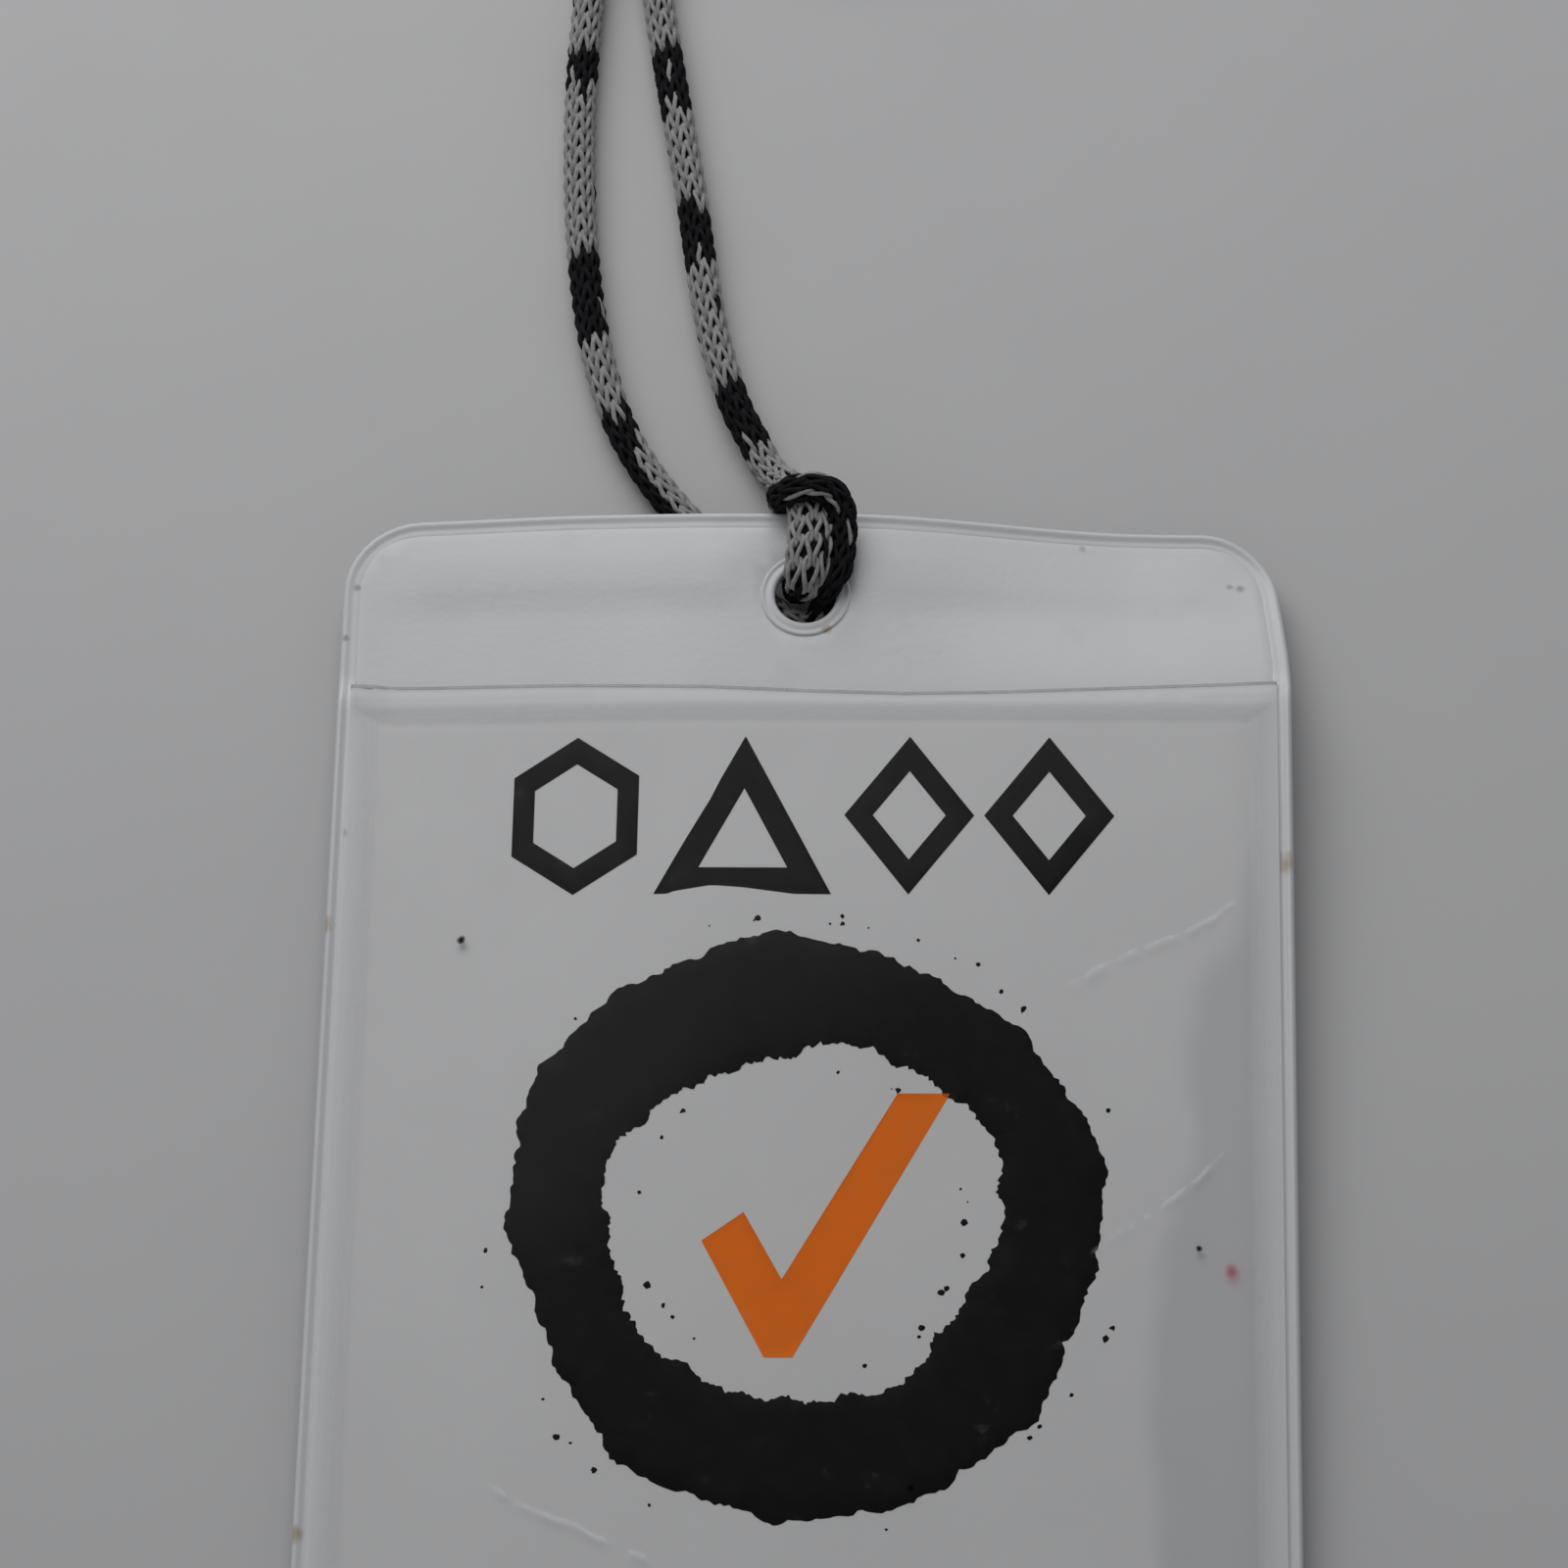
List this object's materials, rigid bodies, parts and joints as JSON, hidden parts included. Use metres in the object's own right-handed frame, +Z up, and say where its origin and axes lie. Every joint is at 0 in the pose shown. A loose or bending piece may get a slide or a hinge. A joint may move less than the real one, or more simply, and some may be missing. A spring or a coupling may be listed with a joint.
{
  "type": "lanyard",
  "caption": "Knitted round neck cord hitched through the hole of a soft PVC pass holder with a sliding card insert.",
  "frame": {"origin": "middle of the pass holder's footprint, on the surface it lies on", "axes": "+X to the right across the holder, +Y from its foot to its hanging strip, +Z up, away from the surface"},
  "size_m": [0.098, 0.339, 0.0121],
  "materials": {
    "white_vinyl": "soft white PVC sheet, satin gloss, lightly soiled",
    "clear_vinyl": "clear soft PVC film, glossy, faint scratches",
    "card_stock": "smooth white printed card",
    "black_ink": "solid black print",
    "orange_ink": "solid orange print",
    "knit_yarn": "knitted tube of space-dyed black and grey yarn",
    "crimp_steel": "nickel-plated crimp",
    "strap": "black hook-and-loop strap"
  },
  "bodies": {
    "holder": {"back_sheet": "white_vinyl", "strip_sheet": "white_vinyl", "front_window": "clear_vinyl", "strip_weld": "white_vinyl", "side_weld_left": "white_vinyl", "side_weld_right": "white_vinyl", "foot_weld": "white_vinyl", "hole_weld": "white_vinyl", "cord_hitch": "knit_yarn", "cord_run_right": "knit_yarn", "cord_lead_in": "knit_yarn", "cord_run_left": "knit_yarn", "cord_hank": "knit_yarn", "cord_ferrule": "crimp_steel", "hank_tie": "strap"},
    "card": {"card_insert": "card_stock"}
  },
  "joints": [
    {"name": "card_slide", "type": "slide", "parent": "holder", "child": "card", "axis": [0, 0.9996, 0.0297], "range_m": [0, 0.009]}
  ]
}
